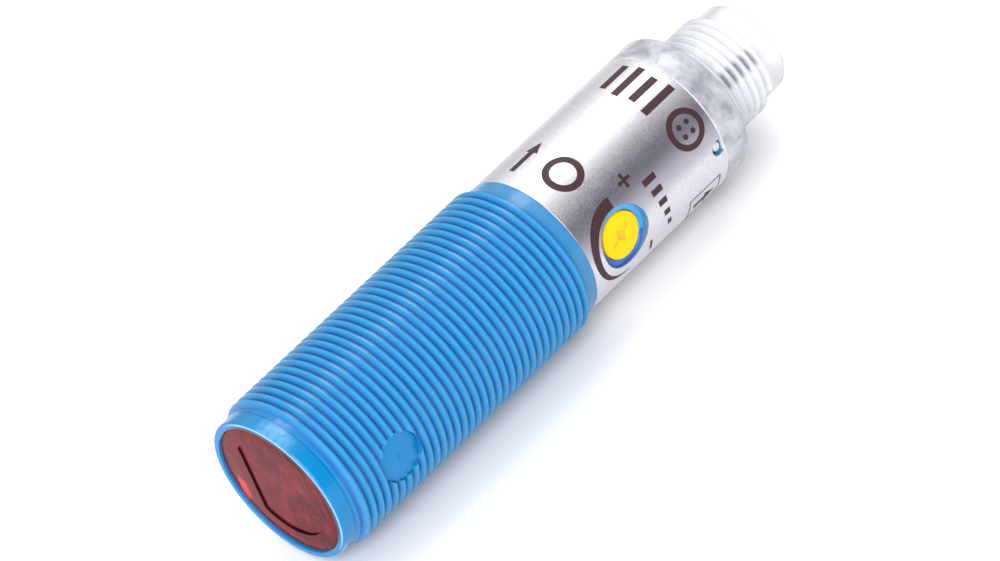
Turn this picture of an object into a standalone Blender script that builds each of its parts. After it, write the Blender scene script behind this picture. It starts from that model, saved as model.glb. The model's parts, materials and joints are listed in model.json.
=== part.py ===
"""Cylindrical photoelectric sensor: M18 x 1 threaded barrel, red front window, sensitivity
adjuster in the side and a four-pin M12 x 1 plug at the rear.

Frame: the origin is the centre of the window's front face. +X runs along the barrel to the
plug, +Z is up and the adjuster looks along -Y. All lengths are in metres.
"""

import math

import bmesh
import bpy
from mathutils import Vector

OBJECT_NAME = "photoelectric_sensor"

# Clearances that the solids keep.
GAP = 0.0003
SLIP = 0.0002

# Stations along the barrel.
RIM_X = -0.00025
WINDOW_THICKNESS = 0.0011
SHELF_X = 0.0020
THREAD_START_X = 0.0017
THREAD_TURNS = 33
THREAD_PITCH = 0.001
LABEL_SHOULDER_X = 0.0367
LABEL_FRONT_X = 0.0369
BARREL_REAR_X = 0.0568
RING_FRONT_X = BARREL_REAR_X + GAP
RING_REAR_X = 0.0604
PLUG_END_X = 0.0701
GATE_X = 0.00845
ADJUSTER_X = 0.04185
PEG_X = 0.05605

# Radii of the barrel.
CREST_R = 0.0088
ROOT_R = 0.00824
LABEL_R = 0.00824
LABEL_THICKNESS = 0.0002
LABEL_SEAT_R = 0.00789
WINDOW_BORE_R = 0.0075
THREAD_BORE_R = 0.0070
REAR_BORE_R = 0.0066
BORE_STEP_X = 0.0355

# The light barrier's outline: a circle cut off by a straight wall, also let into the window.
OPTIC_R = 0.0056
CHORD_Y = 0.0040
WINDOW_RECESS = 0.0002

# The adjuster's well.
WELL_R = 0.00325
WELL_FLOOR_Y = -0.00735
KNOB_BORE_R = 0.00262
BOSS_R = 0.0039
BOSS_INNER_Y = -0.0047
BOSS_OUTER_Y = -0.00675
KNOB_R = 0.00245
KNOB_TOP_Y = -0.0076
KNOB_FLANGE_Y = -0.0040
SLOT_DEPTH = 0.0002
SLOT_TURN = math.radians(25)

# The gate mark: a flat disc let into the thread on the adjuster's side.
GATE_R = 0.0025
GATE_Y = -0.0082

# The plug.
PLUG_ROOT_R = 0.0053
PLUG_CREST_R = 0.00587
PLUG_TIP_R = 0.00523
PLUG_BORE_R = 0.0043
PLUG_THREAD_START_X = 0.0610
PLUG_THREAD_TURNS = 5
PLUG_THREAD_END_X = 0.0673
SPIGOT_R = 0.0063
SPIGOT_BORE_R = 0.0052
SPIGOT_FRONT_X = 0.0520
WEB_FRONT_X = 0.0590
WEB_REAR_X = 0.0610
WEB_BORE_R = 0.0036
PIN_R = 0.0005
PIN_CIRCLE_R = 0.00255
PIN_FRONT_X = 0.0570
PIN_END_X = 0.0688

# The boards.
BOARD_HALF_THICKNESS = 0.0004
BOARD_HALF_WIDTH = 0.0060
BOARD_FRONT_X = 0.0140
BOARD_REAR_X = 0.0514
COMPONENT_Y = BOARD_HALF_THICKNESS + GAP
SENSOR_BOARD_X = 0.0121

BARREL_SEGMENTS = 24
SMALL_SEGMENTS = 16

# A turned piece's own Z axis laid along world +X, or along world -Y for the adjuster.
ALONG_X = (0.0, math.pi / 2, 0.0)
ALONG_MINUS_Y = (math.pi / 2, 0.0, 0.0)


def clear_scene():
    for old in list(bpy.data.objects):
        bpy.data.objects.remove(old, do_unlink=True)


def make_collection(name):
    collection = bpy.data.collections.new(name)
    bpy.context.scene.collection.children.link(collection)
    return collection


def make_material(name, colour, roughness, metallic=0.0, transmission=0.0):
    made = bpy.data.materials.new(name)
    made.use_nodes = True
    shader = made.node_tree.nodes["Principled BSDF"]
    shader.inputs["Base Color"].default_value = (*colour, 1.0)
    shader.inputs["Roughness"].default_value = roughness
    shader.inputs["Metallic"].default_value = metallic
    shader.inputs["Transmission Weight"].default_value = transmission
    made.diffuse_color = (*colour, 1.0)
    return made


def add_object(name, mesh, material=None):
    """A part when it has a material, otherwise a shape that cuts or joins a part."""
    made = bpy.data.objects.new(name, mesh)
    if material:
        mesh.materials.append(material)
        PARTS.objects.link(made)
    else:
        GUIDES.objects.link(made)
        made.hide_render = True
        made.display_type = "WIRE"
    return made


def mesh_from(name, shape):
    mesh = bpy.data.meshes.new(name)
    shape.to_mesh(mesh)
    shape.free()
    return mesh


def smooth(mesh, angle=math.radians(35)):
    mesh.shade_smooth()
    mesh.set_sharp_from_angle(angle=angle)


def box(name, low, high, material=None, bevel=0.0):
    low, high = Vector(low), Vector(high)
    shape = bmesh.new()
    bmesh.ops.create_cube(shape, size=1.0)
    bmesh.ops.scale(shape, vec=high - low, verts=shape.verts)
    made = add_object(name, mesh_from(name, shape), material)
    made.location = (low + high) / 2
    if bevel:
        rounded = made.modifiers.new("rounded edges", "BEVEL")
        rounded.width = bevel
        rounded.segments = 1
    return made


def rod(name, start, end, radius, material=None, segments=SMALL_SEGMENTS, end_radius=None):
    """A round bar, or a cone when end_radius is given."""
    start, end = Vector(start), Vector(end)
    shape = bmesh.new()
    bmesh.ops.create_cone(
        shape,
        cap_ends=True,
        segments=segments,
        radius1=radius,
        radius2=radius if end_radius is None else end_radius,
        depth=(end - start).length,
    )
    mesh = mesh_from(name, shape)
    smooth(mesh)
    made = add_object(name, mesh, material)
    made.location = (start + end) / 2
    made.rotation_euler = (end - start).to_track_quat("Z", "Y").to_euler()
    return made


def turned(name, outline, material=None, closed=True, segments=BARREL_SEGMENTS,
           location=(0.0, 0.0, 0.0), rotation=ALONG_X):
    """Turns an outline of (radius, height) points, whose outer side runs from top to bottom."""
    shape = bmesh.new()
    corners = [shape.verts.new((radius, 0.0, height)) for radius, height in outline]
    for first, second in zip(corners, corners[1:]):
        shape.edges.new((first, second))
    if closed:
        shape.edges.new((corners[-1], corners[0]))
    made = add_object(name, mesh_from(name, shape), material)
    made.location = location
    made.rotation_euler = rotation
    spun = made.modifiers.new("turned", "SCREW")
    spun.steps = segments
    spun.render_steps = segments
    spun.use_smooth_shade = True
    spun.use_merge_vertices = True
    spun.merge_threshold = 0.00001
    return made


def carve(part, cutter):
    cut = part.modifiers.new("cut by " + cutter.name, "BOOLEAN")
    cut.operation = "DIFFERENCE"
    cut.solver = "EXACT"
    cut.object = cutter


def fuse(part, addition):
    joined = part.modifiers.new("joined to " + addition.name, "BOOLEAN")
    joined.operation = "UNION"
    joined.solver = "EXACT"
    joined.object = addition


def threaded(name, outline, thread_after, crest_r, start_x, turns, material,
             segments=BARREL_SEGMENTS):
    """A turned piece with a helical thread between two outline points at its root radius.

    The outline is closed and thread_after numbers the point behind the thread. Each meridian
    runs along the thread a fraction of a pitch further back than the last one, so the last
    meets the first one whole ridge on, and the ridge's two blunt ends lie in the first.
    """
    shape = bmesh.new()
    root_r = outline[thread_after][0]
    half_crest = 0.19 * THREAD_PITCH
    rings, rows = [], []
    for meridian in range(segments):
        turn = 2.0 * math.pi * meridian / segments

        def corner(radius, x):
            return shape.verts.new((x, radius * math.cos(turn), radius * math.sin(turn)))

        rings.append([corner(radius, x) for radius, x in outline])
        first_x = start_x + THREAD_PITCH * meridian / segments
        row = [corner(root_r, first_x)]
        for ridge in range(turns + (meridian == 0)):
            middle = first_x + THREAD_PITCH * (ridge + 0.5)
            row.append(corner(crest_r, middle - half_crest))
            row.append(corner(crest_r, middle + half_crest))
            row.append(corner(root_r, middle + THREAD_PITCH / 2))
        rows.append(row)

    def strip(left, right):
        for low, high in zip(range(len(left)), range(1, len(left))):
            shape.faces.new((left[low], left[high], right[high], right[low]))

    front = thread_after + 1
    first_row = rows[0]
    for meridian in range(segments):
        following = (meridian + 1) % segments
        ring, next_ring = rings[meridian], rings[following]
        row, next_row = rows[meridian], rows[following]
        front_facet = [ring[front], row[0], next_row[0], next_ring[front]]
        rear_facet = [row[-1], ring[thread_after], next_ring[thread_after], next_row[-1]]
        if meridian == 0:
            row = row[:-3]
            rear_facet.append(row[-1])
        if following == 0:
            next_row = next_row[3:]
            front_facet.insert(2, next_row[0])
        strip(row, next_row)
        shape.faces.new(front_facet)
        shape.faces.new(rear_facet)
        strip(ring[front:] + ring[:front], next_ring[front:] + next_ring[:front])
    shape.faces.new(first_row[:4])
    shape.faces.new(first_row[-4:])
    bmesh.ops.recalc_face_normals(shape, faces=shape.faces)
    mesh = mesh_from(name, shape)
    smooth(mesh)
    return add_object(name, mesh, material)


def arc(radius, start, end, steps):
    """Points (y, z) on a circle about the barrel's axis, from one angle to another."""
    turns = [start + (end - start) * step / steps for step in range(steps + 1)]
    return [(radius * math.cos(turn), radius * math.sin(turn)) for turn in turns]


def optic_outline(inset):
    """The D outline of the receiver's chamber, drawn in by inset all round."""
    radius = OPTIC_R - inset
    chord = CHORD_Y - inset
    corner = math.acos(chord / radius)
    return arc(radius, corner, 2.0 * math.pi - corner, 20)


def plate(name, outline, front_x, rear_x, material=None):
    """A flat piece across the barrel, from an outline of (y, z) points."""
    curve = bpy.data.curves.new(name + " outline", "CURVE")
    curve.dimensions = "2D"
    curve.fill_mode = "BOTH"
    curve.extrude = (rear_x - front_x) / 2
    spline = curve.splines.new("POLY")
    spline.points.add(len(outline) - 1)
    for point, (y, z) in zip(spline.points, outline):
        point.co = (-z, y, 0.0, 1.0)
    spline.use_cyclic_u = True
    drawn = bpy.data.objects.new(name + " outline", curve)
    GUIDES.objects.link(drawn)
    drawn.location = ((front_x + rear_x) / 2, 0.0, 0.0)
    drawn.rotation_euler = ALONG_X
    return as_mesh(name, drawn, material)


def as_mesh(name, drawn, material=None):
    """The curve object as a welded mesh object in the same place."""
    bpy.context.view_layer.update()
    evaluated = drawn.evaluated_get(bpy.context.evaluated_depsgraph_get())
    mesh = bpy.data.meshes.new_from_object(evaluated)
    mesh.materials.clear()
    shape = bmesh.new()
    shape.from_mesh(mesh)
    bmesh.ops.remove_doubles(shape, verts=shape.verts, dist=0.000001)
    bmesh.ops.recalc_face_normals(shape, faces=shape.faces)
    shape.to_mesh(mesh)
    shape.free()
    made = add_object(name, mesh, material)
    made.matrix_world = drawn.matrix_world
    bpy.data.objects.remove(drawn)
    return made


def make_barrel(blue):
    """The housing: a threaded tube with a window recess, the adjuster's boss and a peg hole."""
    rim_round = 0.0004
    outline = [
        (LABEL_SEAT_R, BARREL_REAR_X),
        (LABEL_SEAT_R, LABEL_SHOULDER_X),
        (ROOT_R, LABEL_SHOULDER_X),
        (ROOT_R, RIM_X + rim_round),
        (ROOT_R - 0.3 * rim_round, RIM_X + 0.3 * rim_round),
        (ROOT_R - rim_round, RIM_X),
        (WINDOW_BORE_R, RIM_X),
        (WINDOW_BORE_R, SHELF_X),
        (THREAD_BORE_R, SHELF_X),
        (THREAD_BORE_R, BORE_STEP_X),
        (REAR_BORE_R, BORE_STEP_X + THREAD_BORE_R - REAR_BORE_R),
        (REAR_BORE_R, BARREL_REAR_X),
    ]
    barrel = threaded("barrel_housing", outline, 2, CREST_R, THREAD_START_X, THREAD_TURNS, blue)
    fuse(barrel, rod("adjuster boss", (ADJUSTER_X, BOSS_INNER_Y, 0.0),
                     (ADJUSTER_X, BOSS_OUTER_Y, 0.0), BOSS_R, segments=BARREL_SEGMENTS))
    carve(barrel, rod("adjuster well", (ADJUSTER_X, WELL_FLOOR_Y, 0.0),
                      (ADJUSTER_X, -0.0100, 0.0), WELL_R, segments=BARREL_SEGMENTS))
    carve(barrel, rod("knob bore", (ADJUSTER_X, BOSS_INNER_Y + 0.001, 0.0),
                      (ADJUSTER_X, -0.0090, 0.0), KNOB_BORE_R, segments=BARREL_SEGMENTS))
    carve(barrel, rod("gate flat", (GATE_X, GATE_Y, 0.0), (GATE_X, -0.0100, 0.0), GATE_R))
    carve(barrel, rod("peg hole", (PEG_X, -0.0058, 0.0), (PEG_X, -0.0090, 0.0), 0.0008))
    return barrel


def make_label(silver):
    """The printed sleeve behind the thread, open at the adjuster and at the snap peg."""
    inner_r = LABEL_R - LABEL_THICKNESS
    label = turned(
        "wrap_label",
        [(LABEL_R, BARREL_REAR_X), (LABEL_R, LABEL_FRONT_X),
         (inner_r, LABEL_FRONT_X), (inner_r, BARREL_REAR_X)],
        silver,
    )
    carve(label, rod("label window", (ADJUSTER_X, -0.0055, 0.0), (ADJUSTER_X, -0.0100, 0.0),
                     WELL_R, segments=BARREL_SEGMENTS))
    carve(label, rod("label notch", (PEG_X, -0.0060, 0.0), (PEG_X, -0.0100, 0.0), 0.0010))
    carve(label, box("label notch mouth", (PEG_X, -0.0100, -0.0010),
                     (BARREL_REAR_X + 0.0010, -0.0060, 0.0010)))


def make_front(red, rubber):
    """The window, let in over the receiver, and the seal between it and the housing's shelf."""
    window_r = WINDOW_BORE_R - SLIP
    edge = 0.00015
    window = turned(
        "front_window",
        [(0.0, WINDOW_THICKNESS), (window_r, WINDOW_THICKNESS), (window_r, edge),
         (window_r - edge, 0.0), (0.0, 0.0)],
        red,
        closed=False,
    )
    carve(window, plate("window recess", optic_outline(0.0), -0.001, WINDOW_RECESS))
    seal_front = WINDOW_THICKNESS + GAP
    seal_rear = SHELF_X - GAP
    turned(
        "window_seal",
        [(window_r, seal_rear), (window_r, seal_front),
         (THREAD_BORE_R, seal_front), (THREAD_BORE_R, seal_rear)],
        rubber,
    )


def make_optics(black, clear, epoxy, dark_chip):
    """The carrier with the receiver's D-shaped chamber and the emitter's small one."""
    front = WINDOW_THICKNESS + GAP
    rear = SENSOR_BOARD_X - GAP
    pocket_floor = front + 0.0018
    funnel_r = 0.0039
    receiver_y = -0.0010
    emitter_y = 0.00545
    carrier_r = THREAD_BORE_R - GAP

    carrier = turned(
        "optics_carrier",
        [(0.0, rear), (carrier_r, rear), (carrier_r, front), (0.0, front)],
        black,
        closed=False,
    )
    carve(carrier, plate("receiver pocket", optic_outline(0.0), front - 0.001, pocket_floor))
    carve(carrier, rod("receiver bore", (front, receiver_y, 0.0), (rear + 0.001, receiver_y, 0.0),
                       funnel_r, segments=BARREL_SEGMENTS))
    carve(carrier, box("emitter bore", (front - 0.001, emitter_y - 0.0008, -0.0018),
                       (rear + 0.001, emitter_y + 0.0008, 0.0018)))

    lens_front = front + 0.0011
    lens_rear = pocket_floor - GAP
    lens = plate("receiver_lens", optic_outline(GAP), lens_front, lens_rear, clear)
    lens_r = funnel_r - GAP
    dome = [(0.0, lens_rear + 0.0018)]
    for step in range(1, 5):
        lean = 0.5 * math.pi * step / 4
        dome.append((lens_r * math.sin(lean), lens_rear + 0.0018 * math.cos(lean)))
    dome += [(lens_r, lens_rear - 0.0002), (0.0, lens_rear - 0.0002)]
    fuse(lens, turned("receiver dome", dome, closed=False, location=(0.0, receiver_y, 0.0)))

    box("emitter_lens", (front + 0.0003, emitter_y - 0.0005, -0.0015),
        (front + 0.0017, emitter_y + 0.0005, 0.0015), clear, bevel=0.0003)
    box("emitter_led", (rear - 0.0012, emitter_y - 0.0005, -0.0008),
        (rear, emitter_y + 0.0005, 0.0008), epoxy, bevel=0.0002)
    box("receiver_photodiode", (rear - 0.0013, receiver_y - 0.0015, -0.0015),
        (rear, receiver_y + 0.0015, 0.0015), dark_chip, bevel=0.0002)


def make_boards(laminate, header_plastic, tin):
    """The round sensor board, the long main board, the header between them and the screen."""
    rod("sensor_board", (SENSOR_BOARD_X, 0.0, 0.0), (SENSOR_BOARD_X + 0.0008, 0.0, 0.0),
        THREAD_BORE_R - 2 * GAP, laminate, segments=BARREL_SEGMENTS)
    box("main_board", (BOARD_FRONT_X, -BOARD_HALF_THICKNESS, -BOARD_HALF_WIDTH),
        (BOARD_REAR_X, BOARD_HALF_THICKNESS, BOARD_HALF_WIDTH), laminate)
    header_front = SENSOR_BOARD_X + 0.0008 + GAP
    box("board_header", (header_front, COMPONENT_Y, -0.0030),
        (header_front + 0.0035, COMPONENT_Y + 0.0020, 0.0030), header_plastic, bevel=0.0002)
    make_shield(tin)


def make_shield(tin):
    """A five-sided screening can, open towards the board."""
    length, height, width = 0.0110, 0.0030, 0.0084
    shape = bmesh.new()
    bmesh.ops.create_cube(shape, size=1.0)
    open_side = [face for face in shape.faces if face.normal.y < -0.5]
    bmesh.ops.delete(shape, geom=open_side, context="FACES_ONLY")
    bmesh.ops.scale(shape, vec=(length, height, width), verts=shape.verts)
    can = add_object("shield_can", mesh_from("shield_can", shape), tin)
    can.location = (0.0245, COMPONENT_Y + height / 2, 0.0)
    walls = can.modifiers.new("sheet", "SOLIDIFY")
    walls.thickness = 0.0002
    walls.offset = -1.0


def make_components(plastic, ceramic, tantalum, green, amber):
    """The parts on the main board: (name, centre x, side, centre z, size, material, bevel)."""
    components = (
        ("signal_chip", 0.0245, 1, 0.0, (0.0050, 0.0012, 0.0040), plastic),
        ("control_chip", 0.0345, 1, 0.0, (0.0050, 0.0012, 0.0044), plastic),
        ("voltage_regulator", 0.0410, 1, -0.0020, (0.0045, 0.0015, 0.0025), plastic),
        ("surge_diode", 0.0410, 1, 0.0028, (0.0042, 0.0020, 0.0026), plastic),
        ("output_transistor_1", 0.0330, -1, 0.0030, (0.0029, 0.0011, 0.0015), plastic),
        ("output_transistor_2", 0.0330, -1, -0.0030, (0.0029, 0.0011, 0.0015), plastic),
        ("tantalum_capacitor", 0.0265, -1, 0.0, (0.0035, 0.0019, 0.0028), tantalum),
        ("capacitor_1", 0.0195, -1, 0.0025, (0.0020, 0.0012, 0.0012), ceramic),
        ("capacitor_2", 0.0195, -1, -0.0025, (0.0020, 0.0012, 0.0012), ceramic),
        ("resistor_1", 0.0460, 1, 0.0030, (0.0016, 0.0005, 0.0008), plastic),
        ("resistor_2", 0.0460, 1, 0.0, (0.0016, 0.0005, 0.0008), plastic),
        ("resistor_3", 0.0460, 1, -0.0030, (0.0016, 0.0005, 0.0008), plastic),
        ("power_led", 0.0495, 1, 0.0046, (0.0016, 0.0008, 0.0008), green),
        ("output_led", 0.0495, 1, -0.0046, (0.0016, 0.0008, 0.0008), amber),
    )
    for name, x, side, z, size, material in components:
        length, height, width = size
        y = side * (COMPONENT_Y + height / 2)
        half = Vector((length, height, width)) / 2
        centre = Vector((x, y, z))
        box(name, centre - half, centre + half, material, bevel=0.12 * height)


def make_adjuster(yellow, base_plastic, rotor_plastic, rubber):
    """The trimmer on the board and the screwdriver knob that turns it, about one axis."""
    axis_point = (ADJUSTER_X, 0.0, 0.0)
    base_top = -0.0025
    rotor_bottom = base_top - GAP
    rotor_top = rotor_bottom - 0.0009
    blade_tip = rotor_top + 0.0003
    box("trimmer_base", (ADJUSTER_X - 0.0023, base_top, -0.0023),
        (ADJUSTER_X + 0.0023, -COMPONENT_Y, 0.0023), base_plastic, bevel=0.0002)

    rotor = turned(
        "trimmer_rotor",
        [(0.0, -rotor_top), (0.0018, -rotor_top), (0.0018, -rotor_bottom), (0.0, -rotor_bottom)],
        rotor_plastic,
        closed=False,
        segments=SMALL_SEGMENTS,
        location=axis_point,
        rotation=ALONG_MINUS_Y,
    )
    slot_floor = rotor_top + 0.0006
    carve(rotor, box("rotor slot", (ADJUSTER_X - 0.0006, rotor_top - 0.001, -0.0025),
                     (ADJUSTER_X + 0.0006, slot_floor, 0.0025)))

    knob = turned(
        "adjuster_knob",
        [(0.0, -KNOB_TOP_Y), (KNOB_R - 0.0002, -KNOB_TOP_Y), (KNOB_R, -KNOB_TOP_Y - 0.0002),
         (KNOB_R, 0.0066), (0.0016, 0.0066), (0.0016, 0.0058), (0.00245, 0.0058),
         (0.00245, 0.0044), (0.0031, 0.0044), (0.0031, -KNOB_FLANGE_Y), (0.0, -KNOB_FLANGE_Y)],
        yellow,
        closed=False,
        location=axis_point,
        rotation=ALONG_MINUS_Y,
    )
    fuse(knob, box("knob blade", (ADJUSTER_X - 0.0003, KNOB_FLANGE_Y - 0.0003, -0.0012),
                   (ADJUSTER_X + 0.0003, blade_tip, 0.0012)))
    for name, half_x, half_z in (("knob slot", 0.0014, 0.0002), ("knob cross slot", 0.00022, 0.00085)):
        slot = box(name, (ADJUSTER_X - half_x, KNOB_TOP_Y - 0.001, -half_z),
                   (ADJUSTER_X + half_x, KNOB_TOP_Y + SLOT_DEPTH, half_z))
        slot.rotation_euler = (0.0, -SLOT_TURN, 0.0)
        carve(knob, slot)

    ring("adjuster_seal", 0.00217, 0.00028, 0.0062, rubber, axis_point, ALONG_MINUS_Y)


def ring(name, centre_r, wire_r, height, material, location=(0.0, 0.0, 0.0), rotation=ALONG_X):
    """An O-ring at a height along its axis."""
    section = []
    for step in range(8):
        lean = -2.0 * math.pi * (step + 0.5) / 8
        section.append((centre_r + wire_r * math.cos(lean), height + wire_r * math.sin(lean)))
    return turned(name, section, material, location=location, rotation=rotation)


def make_plug(clear, rubber, insert_plastic):
    """The clear end cap: light ring, spigot with a seal, threaded sleeve and contact carrier."""
    groove_front, groove_rear, groove_r = 0.0533, 0.0547, 0.00575
    outline = [
        (PLUG_BORE_R, PLUG_END_X),
        (PLUG_TIP_R - 0.0003, PLUG_END_X),
        (PLUG_TIP_R, PLUG_END_X - 0.0003),
        (PLUG_TIP_R, PLUG_THREAD_END_X),
        (PLUG_ROOT_R, PLUG_THREAD_END_X),
        (PLUG_ROOT_R, RING_REAR_X),
        (LABEL_R - 0.0004, RING_REAR_X),
        (LABEL_R, RING_REAR_X - 0.0004),
        (LABEL_R, RING_FRONT_X),
        (SPIGOT_R, RING_FRONT_X),
        (SPIGOT_R, groove_rear),
        (groove_r, groove_rear),
        (groove_r, groove_front),
        (SPIGOT_R, groove_front),
        (SPIGOT_R, SPIGOT_FRONT_X),
        (SPIGOT_BORE_R, SPIGOT_FRONT_X),
        (SPIGOT_BORE_R, WEB_FRONT_X),
        (WEB_BORE_R, WEB_FRONT_X),
        (WEB_BORE_R, WEB_REAR_X),
        (PLUG_BORE_R, WEB_REAR_X),
    ]
    plug = threaded("plug_body", outline, 4, PLUG_CREST_R, PLUG_THREAD_START_X,
                    PLUG_THREAD_TURNS, clear)
    fuse(plug, rod("snap peg", (PEG_X, -0.0058, 0.0), (PEG_X, -0.0079, 0.0), 0.0005))
    fuse(plug, box("coding key", (WEB_REAR_X - 0.0005, -0.00045, PLUG_BORE_R - 0.0005),
                   (PLUG_END_X - 0.0006, 0.00045, PLUG_BORE_R + 0.0003)))
    ring("plug_seal", 0.00615, 0.00033, (groove_front + groove_rear) / 2, rubber)

    flange_front, flange_rear = WEB_REAR_X + GAP, WEB_REAR_X + 0.0023
    carrier = turned(
        "contact_carrier",
        [(0.0, flange_rear), (0.0036, flange_rear), (0.0036, flange_front),
         (WEB_BORE_R - GAP, flange_front), (WEB_BORE_R - GAP, WEB_FRONT_X - 0.0005),
         (0.0, WEB_FRONT_X - 0.0005)],
        insert_plastic,
        closed=False,
    )
    for number, (y, z) in enumerate(pin_places(), start=1):
        carve(carrier, rod(f"pin hole {number}", (WEB_FRONT_X - 0.002, y, z),
                           (flange_rear + 0.002, y, z), PIN_R + 0.00012))


def pin_places():
    """The four contacts, square to the coding key."""
    return arc(PIN_CIRCLE_R, 0.0, 1.5 * math.pi, 3)


def make_contacts(gold, wires):
    """The plug's four pins, each with a lead back to its pad on the main board."""
    tip = 0.00025
    for number, (y, z) in enumerate(pin_places(), start=1):
        turned(
            f"contact_pin_{number}",
            [(0.0, PIN_END_X), (PIN_R - tip, PIN_END_X), (PIN_R, PIN_END_X - 2 * tip),
             (PIN_R, PIN_FRONT_X), (0.0, PIN_FRONT_X)],
            gold,
            closed=False,
            segments=SMALL_SEGMENTS,
            location=(0.0, y, z),
        )
    wire_r = 0.00025
    pad_x = BOARD_REAR_X - 0.0016
    pad_y = COMPONENT_Y + wire_r
    pads = ((pad_y, 0.0018), (-pad_y, 0.0030), (-pad_y, 0.0), (pad_y, -0.0018))
    for number, (place, pad, wire) in enumerate(zip(pin_places(), pads, wires), start=1):
        lead(f"pin_lead_{number}", (PIN_FRONT_X - GAP, *place), (pad_x, *pad), wire_r, wire)


def lead(name, pin_end, pad_end, radius, material):
    """A wire that leaves the pin and reaches the pad along the barrel, in one smooth S."""
    curve = bpy.data.curves.new(name + " route", "CURVE")
    curve.dimensions = "3D"
    curve.bevel_depth = radius
    curve.bevel_resolution = 2
    curve.use_fill_caps = True
    spline = curve.splines.new("POLY")
    steps = 9
    spline.points.add(steps)
    pin_end, pad_end = Vector(pin_end), Vector(pad_end)
    for step, point in enumerate(spline.points):
        along = step / steps
        across = along * along * (3.0 - 2.0 * along)
        place = pin_end.lerp(pad_end, across)
        place.x = pin_end.x + (pad_end.x - pin_end.x) * along
        point.co = (*place, 1.0)
    drawn = bpy.data.objects.new(name + " route", curve)
    GUIDES.objects.link(drawn)
    made = as_mesh(name, drawn, material)
    smooth(made.data)


def make_sensor():
    blue = make_material("blue plastic", (0.023, 0.305, 0.716), 0.35)
    silver = make_material("silver foil", (0.62, 0.61, 0.64), 0.32, metallic=0.9)
    red = make_material("red window", (0.32, 0.01, 0.02), 0.08, transmission=0.6)
    rubber = make_material("black rubber", (0.02, 0.02, 0.02), 0.8)
    black = make_material("black plastic", (0.015, 0.015, 0.017), 0.5)
    lens = make_material("optical plastic", (0.85, 0.80, 0.80), 0.05, transmission=0.9)
    clear = make_material("frosted plastic", (0.82, 0.83, 0.85), 0.3, transmission=0.6)
    epoxy = make_material("clear epoxy", (0.80, 0.75, 0.72), 0.15, transmission=0.5)
    laminate = make_material("green laminate", (0.02, 0.13, 0.05), 0.45)
    header = make_material("header plastic", (0.03, 0.03, 0.03), 0.6)
    tin = make_material("tinned steel", (0.66, 0.66, 0.64), 0.3, metallic=1.0)
    chip = make_material("moulded package", (0.025, 0.025, 0.027), 0.55)
    ceramic = make_material("ceramic", (0.45, 0.32, 0.20), 0.5)
    tantalum = make_material("tantalum case", (0.75, 0.42, 0.06), 0.5)
    green = make_material("green lamp", (0.20, 0.75, 0.25), 0.2)
    amber = make_material("amber lamp", (0.90, 0.55, 0.05), 0.2)
    yellow = make_material("yellow plastic", (0.95, 0.68, 0.0), 0.4)
    trimmer = make_material("trimmer base", (0.05, 0.16, 0.45), 0.5)
    white = make_material("white plastic", (0.85, 0.85, 0.83), 0.45)
    insert = make_material("black insert", (0.03, 0.03, 0.03), 0.5)
    gold = make_material("gold plating", (0.83, 0.61, 0.25), 0.22, metallic=1.0)
    wire_colours = ((0.20, 0.08, 0.03), (0.80, 0.80, 0.78), (0.03, 0.10, 0.45), (0.02, 0.02, 0.02))
    wires = [make_material(f"wire sleeve {number}", colour, 0.5)
             for number, colour in enumerate(wire_colours, start=1)]

    make_barrel(blue)
    make_label(silver)
    make_front(red, rubber)
    make_optics(black, lens, epoxy, chip)
    make_boards(laminate, header, tin)
    make_components(chip, ceramic, tantalum, green, amber)
    make_adjuster(yellow, trimmer, white, rubber)
    make_plug(clear, rubber, insert)
    make_contacts(gold, wires)


clear_scene()
PARTS = make_collection(OBJECT_NAME)
GUIDES = make_collection("cutters")
make_sensor()
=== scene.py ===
import json
import math

import bmesh
import bpy
from mathutils import Matrix, Vector


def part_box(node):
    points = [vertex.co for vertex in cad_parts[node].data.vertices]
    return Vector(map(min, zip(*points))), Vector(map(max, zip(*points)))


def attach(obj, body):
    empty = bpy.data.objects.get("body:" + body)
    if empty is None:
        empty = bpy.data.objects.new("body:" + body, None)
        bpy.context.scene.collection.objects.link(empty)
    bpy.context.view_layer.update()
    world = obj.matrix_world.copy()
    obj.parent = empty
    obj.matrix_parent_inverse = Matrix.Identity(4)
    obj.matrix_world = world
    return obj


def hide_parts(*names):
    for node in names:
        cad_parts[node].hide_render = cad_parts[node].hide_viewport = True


# The looks of a cylindrical photoelectric sensor: a blue M18 barrel with a red window, a
# silver label with a yellow sensitivity adjuster, and a clear M12 plug. All lengths are in
# metres in the CAD frame: +X along the barrel to the plug, +Z up, the adjuster at -Y.

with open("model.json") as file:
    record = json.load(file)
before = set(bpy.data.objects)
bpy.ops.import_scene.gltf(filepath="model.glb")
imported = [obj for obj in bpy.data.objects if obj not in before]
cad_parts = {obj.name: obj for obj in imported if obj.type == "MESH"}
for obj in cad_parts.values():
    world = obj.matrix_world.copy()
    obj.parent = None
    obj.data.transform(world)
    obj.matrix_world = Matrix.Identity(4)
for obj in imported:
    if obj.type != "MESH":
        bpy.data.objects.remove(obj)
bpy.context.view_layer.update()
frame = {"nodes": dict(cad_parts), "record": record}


def low(node):
    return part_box(node)[0]


def high(node):
    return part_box(node)[1]


MM = 0.001

# Sizes read from the CAD model.
RIM_X = low("barrel_housing").x
BARREL_REAR_X = high("barrel_housing").x
CREST_R = high("barrel_housing").z
LABEL_FRONT_X = low("wrap_label").x
LABEL_R = high("wrap_label").z
WINDOW_REAR_X = high("front_window").x
SEAL_FRONT_X = low("window_seal").x
SHELF_X = high("window_seal").x + 0.3 * MM
CARRIER_REAR_X = high("optics_carrier").x
PLUG_FRONT_X = low("plug_body").x
PLUG_END_X = high("plug_body").x
ADJUSTER_X = (low("adjuster_knob").x + high("adjuster_knob").x) / 2
KNOB_TOP_Y = low("adjuster_knob").y
FLOOR_Z = low("barrel_housing").z

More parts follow.
